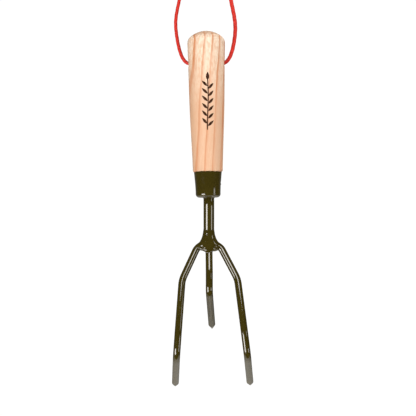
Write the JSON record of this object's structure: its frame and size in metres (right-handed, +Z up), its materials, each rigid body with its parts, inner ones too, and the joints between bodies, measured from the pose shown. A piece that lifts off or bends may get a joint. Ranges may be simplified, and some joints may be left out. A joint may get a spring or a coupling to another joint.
{
  "type": "hand cultivator",
  "caption": "Hand cultivator: bent round-bar tines welded to a short shank, a ferrule, a turned wooden handle and a cord loop that it hangs by.",
  "frame": {"origin": "crotch of the hanging loop, straight under its knot, where a peg carries the tool", "axes": "+Z up, against the pull of the hanging tool; +X to the right, along the cord's bore; the tine tips point to +Y"},
  "size_m": [0.0752, 0.0458, 0.4613],
  "materials": {
    "ash": "fine sanded, clear oiled",
    "paint": "gloss",
    "cord": "satin"
  },
  "bodies": {
    "loop": {"hanging_cord": "cord", "cord_knot": "cord", "cord_tails": "cord"},
    "tool": {"handle": "ash", "ferrule": "paint", "ferrule_pin": "paint", "shank": "paint", "ferrule_weld": "paint", "left_tine": "paint", "right_tine": "paint", "middle_tine": "paint", "tine_weld": "paint"}
  },
  "joints": [
    {"name": "tool_swing", "type": "hinge", "parent": "loop", "child": "tool", "pos_m": [0, 0, -0.1435], "axis": [1, 0, 0], "range_deg": [-90, 90]}
  ]
}
